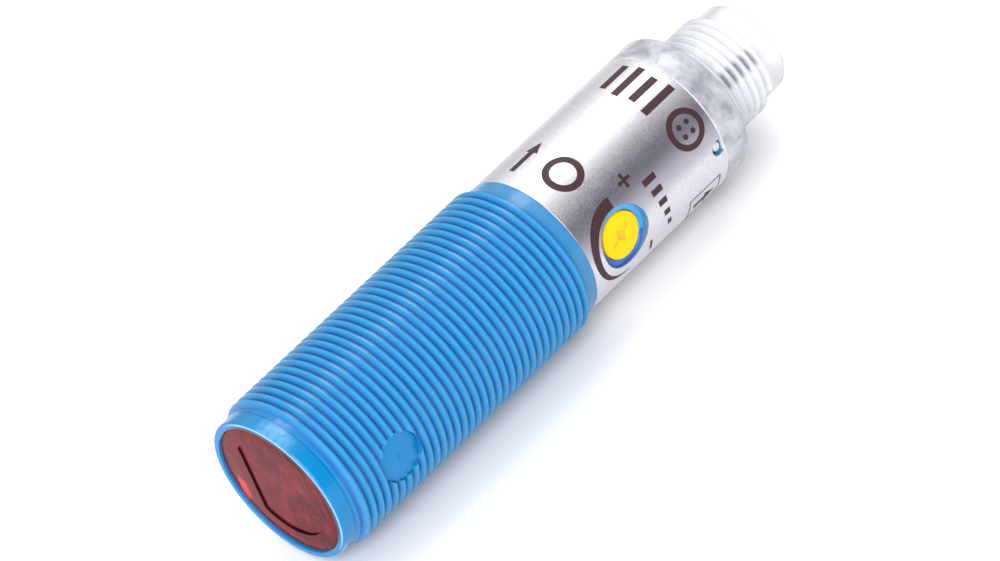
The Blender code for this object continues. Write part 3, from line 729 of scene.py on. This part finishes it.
def make_barrel():
    """The threaded housing with its adjuster well, peg hole and gate mark."""
    steps = 6
    outline = rounded([
        (BARREL_REAR_X, LABEL_SEAT_R, 0.10 * MM),
        (SHOULDER_X, LABEL_SEAT_R, 0.0),
        (SHOULDER_X, ROOT_R, 0.04 * MM),
        (RIM_X, ROOT_R, 0.25 * MM),
        (RIM_X, WINDOW_BORE_R, 0.06 * MM),
        (SHELF_X, WINDOW_BORE_R, 0.0),
        (SHELF_X, THREAD_BORE_R, 0.0),
        (BORE_STEP_X, THREAD_BORE_R, 0.0),
        (BORE_STEP_X + THREAD_BORE_R - REAR_BORE_R, REAR_BORE_R, 0.0),
        (BARREL_REAR_X, REAR_BORE_R, 0.0),
    ], steps)
    # The thread follows the outline's first two fillets and the corner between them.
    thread_after = 2 * (steps + 1)
    profile = ridge_profile(CREST_R - ROOT_R, 0.06 * MM)

    def swell(x):
        return fade(x, THREAD_FRONT_X, 2.45 * MM, THREAD_REAR_X, THREAD_GONE_X)

    shape = threaded(outline, thread_after, profile, VALLEY_X, 0.6 * MM, 35, swell)
    barrel = solid("barrel_skin", shape, BLUE)
    well = turned([(0.0, 0.0), (0.0, KNOB_BORE_R), (-WELL_FLOOR_Y, KNOB_BORE_R),
                   (-WELL_FLOOR_Y, WELL_R), (OUTSIDE, WELL_R), (OUTSIDE, 0.0)], ROUND, False)
    gate = rod(-GATE_Y - 0.15 * MM, OUTSIDE, GATE_R)
    peg_hole = rod(6 * MM, OUTSIDE, 0.7 * MM)
    cut(barrel, solid("well", well, place=looking_out(ADJUSTER_X)),
        solid("gate", gate, place=looking_out(GATE_X)),
        solid("peg hole", peg_hole, place=looking_out(PEG_X)))
    stand_in(barrel, "blue_plastic", "barrel_housing")

    top = -GATE_Y
    disc = rounded([
        (top - 0.08 * MM, 0.0, 0.0),
        (top - 0.08 * MM, 0.15 * MM, 0.02 * MM),
        (top + 0.05 * MM, 0.21 * MM, 0.02 * MM),
        (top + 0.05 * MM, 0.34 * MM, 0.02 * MM),
        (top, 0.41 * MM, 0.0),
        (top, GATE_R - 0.01 * MM, 0.07 * MM),
        (7.6 * MM, GATE_R - 0.01 * MM, 0.0),
        (7.6 * MM, 0.0, 0.0),
    ], 3)
    mark = solid("gate_mark", turned(disc, ROUND, False), BLUE, looking_out(GATE_X))
    stand_in(mark, "blue_plastic", "barrel_housing")


def make_label():
    """The printed foil sleeve, open at the adjuster and at the peg."""
    inner_r = LABEL_SEAT_R + 0.03 * MM
    front_x, rear_x = SHOULDER_X + 0.03 * MM, high("wrap_label").x
    outline = rounded([
        (rear_x, LABEL_R, 0.04 * MM),
        (front_x, LABEL_R, 0.04 * MM),
        (front_x, inner_r, 0.0),
        (rear_x, inner_r, 0.0),
    ])
    label = solid("label_foil", turned(outline, 2 * FINE), SILVER)
    notch_r = 0.8 * MM
    opening = rod(5 * MM, OUTSIDE, WELL_R)
    notch = rod(5 * MM, OUTSIDE, notch_r)
    mouth = block((PEG_X, -OUTSIDE, -notch_r), (rear_x + 1 * MM, -6 * MM, notch_r))
    cut(label, solid("opening", opening, place=looking_out(ADJUSTER_X)),
        solid("notch", notch, place=looking_out(PEG_X)), solid("mouth", mouth))
    stand_in(label, "silver_label", "wrap_label")


def make_window():
    """The red window, let in over the receiver, and its seal."""
    window_r = WINDOW_BORE_R - 0.04 * MM
    outline = rounded([(WINDOW_REAR_X, 0.0, 0.0), (WINDOW_REAR_X, window_r, 0.05 * MM),
                       (0.0, window_r, 0.10 * MM), (0.0, 0.0, 0.0)])
    window = solid("window_pane", turned(outline, FINE, False), RED)
    cut(window, solid("recess", prism(optic_outline(), -1 * MM, RECESS_DEPTH)))
    window.data.materials.append(SHADED_RED_WALL)
    # The recess walls take the near-black copy as painted shade.
    for face in window.data.polygons:
        across = math.hypot(face.center.y, face.center.z)
        if abs(face.normal.x) < 0.3 and across < OPTIC_R + 0.1 * MM:
            face.material_index = 1
    stand_in(window, "red_window", "front_window")

    seal_rear_x, seal_r, fillet = SHELF_X - 0.3 * MM, WINDOW_BORE_R - 0.15 * MM, 0.08 * MM
    seal = rounded([(seal_rear_x, seal_r, fillet), (SEAL_FRONT_X, seal_r, fillet),
                    (SEAL_FRONT_X, THREAD_BORE_R, fillet), (seal_rear_x, THREAD_BORE_R, fillet)])
    stand_in(solid("window_gasket", turned(seal), RUBBER), "rubber", "window_seal")


def make_optics():
    """The carrier behind the window with its lenses."""
    front = SEAL_FRONT_X
    carrier_r = high("optics_carrier").z
    emitter_y = (low("emitter_lens").y + high("emitter_lens").y) / 2
    receiver_y = -1.0 * MM
    floor_x = front + 1.8 * MM
    outline = rounded([(CARRIER_REAR_X, 0.0, 0.0), (CARRIER_REAR_X, carrier_r, 0.2 * MM),
                       (front, carrier_r, 0.15 * MM), (front, 0.0, 0.0)])
    carrier = solid("carrier_block", turned(outline, FINE, False), CARRIER)
    pocket = prism(optic_outline(), front - 1 * MM, floor_x)
    slit = block((front - 1 * MM, emitter_y - 0.8 * MM, -1.8 * MM),
                 (CARRIER_REAR_X + 1 * MM, emitter_y + 0.8 * MM, 1.8 * MM))
    bore = rod(front, CARRIER_REAR_X + 1 * MM, 3.9 * MM)
    cut(carrier, solid("pocket", pocket), solid("slit", slit),
        solid("bore", bore, place=Matrix.Translation((0.0, receiver_y, 0.0))))
    stand_in(carrier, "black_plastic", "optics_carrier")

    lens_front, lens_rear = low("receiver_lens").x, floor_x - 0.3 * MM
    lens = solid("receiver_optic", prism(optic_outline(0.3 * MM), lens_front, lens_rear),
                 FINISHES["optical_plastic"])
    dome = rounded([(lens_front + 0.1 * MM, 0.0, 0.0), (lens_front + 0.1 * MM, 3.6 * MM, 0.0),
                    (lens_rear, 3.6 * MM, 0.0), (high("receiver_lens").x, 2.4 * MM, 2.2 * MM),
                    (high("receiver_lens").x, 0.0, 0.0)], 8)
    cut(lens, solid("dome", turned(dome, ROUND, False), place=Matrix.Translation((0.0, receiver_y, 0.0))),
        operation="UNION")
    stand_in(lens, "optical_plastic", "receiver_lens")


def make_knob():
    """The yellow adjuster with its shallow crossed slot."""
    top = -KNOB_TOP_Y
    outline = rounded([
        (top, 0.0, 0.0), (top, KNOB_R, 0.10 * MM), (6.6 * MM, KNOB_R, 0.0), (6.6 * MM, 1.6 * MM, 0.0),
        (5.8 * MM, 1.6 * MM, 0.0), (5.8 * MM, 2.4 * MM, 0.0), (4.4 * MM, 2.4 * MM, 0.0),
        (4.4 * MM, 3.1 * MM, 0.1 * MM), (4.0 * MM, 3.1 * MM, 0.0), (4.0 * MM, 0.0, 0.0),
    ])
    knob = solid("adjuster_cap", turned(outline, FINE, False), YELLOW, looking_out(ADJUSTER_X))
    turn = looking_out(ADJUSTER_X) @ Matrix.Rotation(math.radians(25), 4, "X")
    # Half length, half width and depth of the long slot, the cross slot and their middle.
    sizes = [(1.40 * MM, 0.20 * MM, 0.10 * MM), (0.22 * MM, 0.85 * MM, 0.10 * MM),
             (0.42 * MM, 0.42 * MM, 0.16 * MM)]
    slots = [block((top - depth, -along, -across), (top + 1 * MM, along, across), 0.03 * MM)
             for along, across, depth in sizes]
    cut(knob, *[solid(f"slot {number}", slot, place=turn) for number, slot in enumerate(slots)])
    knob.data.materials.append(SHADED_SLOT)
    # The slot's floor takes the darker copy as painted shade.
    for face in knob.data.polygons:
        from_axis = math.hypot(face.center.x - ADJUSTER_X, face.center.z)
        if from_axis < 1.45 * MM and -top + 0.02 * MM < face.center.y < -top + 0.3 * MM:
            face.material_index = 1
    stand_in(knob, "yellow_plastic", "adjuster_knob", body="adjuster")


def make_plug():
    """The clear end cap: light ring, threaded sleeve, coding key and snap peg."""
    ring_front = BARREL_REAR_X + 0.06 * MM
    outline = rounded([
        (PLUG_END_X, PLUG_BORE_R, 0.12 * MM),
        (PLUG_END_X, PLUG_TIP_R, 0.45 * MM),
        (PLUG_THREAD_END_X + 0.05 * MM, PLUG_TIP_R, 0.0),
        (PLUG_THREAD_END_X, PLUG_ROOT_R, 0.0),
        (RING_REAR_X, PLUG_ROOT_R, 0.10 * MM),
        (RING_REAR_X, LABEL_R, 0.45 * MM),
        (ring_front, LABEL_R, 0.08 * MM),
        (ring_front, SPIGOT_R, 0.0),
        (PLUG_FRONT_X, SPIGOT_R, 0.2 * MM),
        (PLUG_FRONT_X, SPIGOT_BORE_R, 0.0),
        (WEB_FRONT_X, SPIGOT_BORE_R, 0.0),
        (WEB_FRONT_X, WEB_BORE_R, 0.0),
        (WEB_REAR_X, WEB_BORE_R, 0.0),
        (WEB_REAR_X, PLUG_BORE_R, 0.0),
    ])
    thread_after = outline.index(Vector((PLUG_THREAD_END_X, PLUG_ROOT_R)))
    profile = ridge_profile(PLUG_CREST_R - PLUG_ROOT_R, 0.09 * MM)

    def swell(x):
        return fade(x, 61.4 * MM, 61.6 * MM, 67.15 * MM, 67.35 * MM)

    shape = threaded(outline, thread_after, profile, PLUG_VALLEY_X, RING_REAR_X + 0.15 * MM, 6, swell)
    plug = solid("clear_cap", shape, CLEAR)
    key = block((WEB_REAR_X - 0.5 * MM, -0.45 * MM, PLUG_BORE_R - 0.5 * MM),
                (PLUG_END_X - 0.6 * MM, 0.45 * MM, PLUG_BORE_R + 0.3 * MM))
    cut(plug, solid("key", key), operation="UNION")
    stand_in(plug, "clear_cap", "plug_body")
    snap = rounded([(7.98 * MM, 0.0, 0.0), (7.98 * MM, 0.5 * MM, 0.2 * MM), (5.8 * MM, 0.5 * MM, 0.0),
                    (5.8 * MM, 0.0, 0.0)])
    peg = solid("snap_peg", turned(snap, 32, False), CLEAR, looking_out(PEG_X + 0.12 * MM))
    stand_in(peg, "clear_cap", "plug_body")


def make_contacts():
    """The insert and its four gold pins."""
    flange_rear = high("contact_carrier").x
    flange_front = WEB_REAR_X + 0.3 * MM
    neck_r = WEB_BORE_R - 0.3 * MM
    outline = rounded([
        (flange_rear, 0.0, 0.0), (flange_rear, 3.6 * MM, 0.15 * MM), (flange_front, 3.6 * MM, 0.1 * MM),
        (flange_front, neck_r, 0.0), (low("contact_carrier").x, neck_r, 0.1 * MM),
        (low("contact_carrier").x, 0.0, 0.0),
    ])
    insert = solid("pin_insert", turned(outline, ROUND, False), INSERT)
    holes = []
    for number in range(4):
        lowest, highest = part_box(f"contact_pin_{number + 1}")
        centre = (lowest + highest) / 2
        radius = (highest.z - lowest.z) / 2
        place = Matrix.Translation((0.0, centre.y, centre.z))
        pin = rounded([(highest.x, 0.0, 0.0), (highest.x, radius, 0.42 * MM), (lowest.x, radius, 0.0),
                       (lowest.x, 0.0, 0.0)], 6)
        made = solid(f"gold_pin_{number + 1}", turned(pin, 32, False), GOLD, place)
        stand_in(made, "gold_contact", f"contact_pin_{number + 1}")
        hole = rod(lowest.x, highest.x, radius + 0.1 * MM, 32)
        holes.append(solid(f"hole {number}", hole, place=place))
    cut(insert, *holes)
    stand_in(insert, "black_insert", "contact_carrier")


# ---------------------------------------------------------------- printing

def rectangle(x, across, length, width):
    """A rectangle's corners about its centre: x along the barrel, across round it."""
    half_x, half_v = length / 2, width / 2
    return [(x - half_x, across - half_v), (x + half_x, across - half_v),
            (x + half_x, across + half_v), (x - half_x, across + half_v)]


def disc(x, across, radius, steps=40):
    return [(x + radius * math.cos(math.tau * step / steps),
             across + radius * math.sin(math.tau * step / steps)) for step in range(steps)]


def scale_crescent():
    """The adjuster's scale: an arc round its front that narrows from high to low."""
    start, end, steps = math.radians(-84), math.radians(-270), 48
    outer, inner = [], []
    for step in range(steps + 1):
        along = step / steps
        turn = start + (end - start) * along
        outer_r = 4.60 - 0.04 * along
        inner_r = 3.34 + 1.12 * along ** 1.5
        outer.append((outer_r * math.cos(turn), outer_r * math.sin(turn)))
        inner.append((inner_r * math.cos(turn), inner_r * math.sin(turn)))
    return [(ADJUSTER_X / MM + x, across) for x, across in outer + inner[::-1]]


def plus(x, across, size, line):
    half, arm = line / 2, size / 2
    corners = [(half, half), (half, arm), (-half, arm), (-half, half), (-arm, half), (-arm, -half),
               (-half, -half), (-half, -arm), (half, -arm), (half, -half), (arm, -half), (arm, half)]
    return [(x + along, across + round_it) for along, round_it in corners]


def arrow(x, across, length, width, shaft):
    """An arrow that points to the plug."""
    tip, tail = x + length / 2, x - length / 2
    neck = tip - width
    return [(tail, across - shaft / 2), (neck, across - shaft / 2), (neck, across - width / 2),
            (tip, across), (neck, across + width / 2), (neck, across + shaft / 2),
            (tail, across + shaft / 2)]


def frame_lines(x, across, length, width, line):
    return [rectangle(x, across, length, width),
            rectangle(x, across, length - 2 * line, width - 2 * line)]


def label_marks():
    """Generic marks in millimetres: (x, distance round the barrel from the adjuster, down)."""
    marks = [scale_crescent()]
    # High and low ends of the scale.
    marks += [plus(44.9, -4.6, 1.6, 0.36), rectangle(45.0, 4.0, 0.36, 1.5)]
    # Level bars.
    for step in range(5):
        height = 0.55 + 0.30 * step
        marks.append(rectangle(48.1 - height / 2, 2.9 - 1.45 * step, height, 0.70))
    # Pin face.
    face_x, face_across = 53.9, -4.0
    marks += [disc(face_x, face_across, 2.2), disc(face_x, face_across, 1.55)]
    for step in range(4):
        turn = math.tau * (step + 0.5) / 4
        marks.append(disc(face_x + 0.8 * math.cos(turn), face_across + 0.8 * math.sin(turn), 0.3, 20))
    # Bars beside the pin face.
    for step in range(4):
        marks.append(rectangle(face_x, -8.0 - 1.9 * step, 4.4 - 0.7 * (step % 2), 0.85))
    # Beam and light source.
    source_x = 40.9
    marks += [arrow(source_x, -14.0, 4.6, 1.6, 0.7)]
    marks += [disc(source_x, -9.2, 2.1), disc(source_x, -9.2, 1.35)]
    # Framed arrow.
    emblem = (53.4, 4.9)
    marks += frame_lines(*emblem, 4.8, 3.2, 0.16)
    marks += [arrow(*emblem, 3.3, 1.7, 0.65)]
    return marks


def make_print():
    """Wraps the marks on the label as a film of ink."""
    curve = bpy.data.curves.new("marks", "CURVE")
    curve.dimensions = "2D"
    curve.fill_mode = "BOTH"
    curve.extrude = 0.5
    for mark in label_marks():
        spline = curve.splines.new("POLY")
        spline.points.add(len(mark) - 1)
        spline.use_cyclic_u = True
        for point, (x, across) in zip(spline.points, mark):
            point.co = (x, across, 0.0, 1.0)
    drawn = bpy.data.objects.new("marks", curve)
    bpy.context.scene.collection.objects.link(drawn)
    bpy.context.view_layer.update()
    flat = bpy.data.meshes.new_from_object(drawn.evaluated_get(bpy.context.evaluated_depsgraph_get()))
    bpy.data.objects.remove(drawn)
    shape = bmesh.new()
    shape.from_mesh(flat)
    bmesh.ops.remove_doubles(shape, verts=shape.verts, dist=1e-5)
    lowest = min(vertex.co.y for vertex in shape.verts)
    highest = max(vertex.co.y for vertex in shape.verts)
    spacing = 0.3
    for step in range(1, int((highest - lowest) / spacing)):
        parts = list(shape.verts) + list(shape.edges) + list(shape.faces)
        bmesh.ops.bisect_plane(shape, geom=parts, plane_co=(0.0, lowest + spacing * step, 0.0),
                               plane_no=(0.0, 1.0, 0.0))
    for vertex in shape.verts:
        x, across, height = vertex.co
        turn = across * MM / LABEL_R
        radius = LABEL_R + INK * (0.8 * height + 0.5)
        vertex.co = (x * MM, -radius * math.cos(turn), -radius * math.sin(turn))
    stand_in(solid("label_print", shape, INKED), "silver_label", "wrap_label")


def finish_cad_nodes():
    """Gives the CAD nodes that still show the material of their record slot."""
    for part in frame["record"]["subparts"]:
        node = frame["nodes"][part["node"]]
        for place in node.material_slots:
            place.material = FINISHES[part["material_slot"]]


# ---------------------------------------------------------------- studio

def make_floor():
    made = Finish("studio floor")
    made.colour(made.mix(made.noise(60 * MM, 2.0), (0.76, 0.76, 0.77), (0.79, 0.79, 0.80)))
    made.roughness(made.span(made.noise(20 * MM), 0.3, 0.7, 0.55, 0.65))
    made.bump(made.noise(1.5 * MM, 2.0), 0.02 * MM)
    shape = bmesh.new()
    bmesh.ops.create_circle(shape, cap_ends=True, segments=96, radius=2.5)
    bmesh.ops.translate(shape, vec=(MIDDLE.x, MIDDLE.y, FLOOR_Z), verts=shape.verts)
    solid("floor", shape, made.material)


def softbox(name, direction, distance, size, power):
    """A rectangular lamp that faces the middle of the sensor from a direction."""
    lamp = bpy.data.lights.new(name, "AREA")
    lamp.shape = "RECTANGLE"
    lamp.size, lamp.size_y = size
    lamp.energy = power
    made = bpy.data.objects.new(name, lamp)
    bpy.context.scene.collection.objects.link(made)
    back = Vector(direction).normalized()
    side = Vector((1.0, 0.0, 0.0))
    side = (side - side.dot(back) * back).normalized()
    turn = Matrix((side, back.cross(side), back)).transposed().to_4x4()
    made.matrix_world = Matrix.Translation(MIDDLE + back * distance) @ turn


def make_studio():
    """A large softbox above and behind the barrel, weak fills, and a pale world with a dark side."""
    softbox("key", (0.10, 0.30, 0.95), 0.50, (1.3, 1.05), 2.3)
    softbox("key_core", (0.449, 0.20, 0.87), 0.60, (0.22, 0.24), 0.9)
    softbox("front_fill", (-0.62, -0.60, 0.50), 1.0, (0.8, 0.8), 15.0)
    softbox("plug_side_fill", (0.90, -0.38, 0.22), 0.7, (0.5, 0.5), 0.3)
    world = bpy.data.worlds.new("studio")
    world.use_nodes = True
    nodes, links = world.node_tree.nodes, world.node_tree.links
    direction = nodes.new("ShaderNodeTexCoord")
    towards_flag = nodes.new("ShaderNodeVectorMath")
    towards_flag.operation = "DOT_PRODUCT"
    towards_flag.inputs[1].default_value = (0.449, -0.883, 0.135)
    links.new(direction.outputs["Generated"], towards_flag.inputs[0])
    share = nodes.new("ShaderNodeMapRange")
    share.interpolation_type = "SMOOTHSTEP"
    share.inputs["From Min"].default_value = 0.40
    share.inputs["From Max"].default_value = 0.93
    links.new(towards_flag.outputs["Value"], share.inputs["Value"])
    tone = nodes.new("ShaderNodeMix")
    tone.data_type = "RGBA"
    tone.inputs[6].default_value = (0.65, 0.65, 0.66, 1.0)
    tone.inputs[7].default_value = (0.010, 0.008, 0.035, 1.0)
    links.new(share.outputs["Result"], tone.inputs[0])
    links.new(tone.outputs[2], nodes["Background"].inputs["Color"])
    bpy.context.scene.world = world
    bpy.context.scene.view_settings.view_transform = "Standard"


def make_camera():
    """A long lens that looks down on the window from the adjuster's side."""
    lens = bpy.data.cameras.new("camera")
    lens.lens = 159.8
    lens.sensor_width = 36.0
    lens.clip_start = 0.01
    made = bpy.data.objects.new("camera", lens)
    right = Vector((0.64692, -0.69775, -0.30762))
    up = Vector((0.61666, 0.24139, 0.74931))
    turn = Matrix((right, up, right.cross(up))).transposed().to_4x4()
    made.matrix_world = Matrix.Translation((-0.161129, -0.290166, 0.252238)) @ turn
    bpy.context.scene.collection.objects.link(made)
    bpy.context.scene.camera = made


make_camera()
make_barrel()
make_label()
make_print()
make_window()
make_optics()
make_knob()
make_plug()
make_contacts()
finish_cad_nodes()
make_floor()
make_studio()
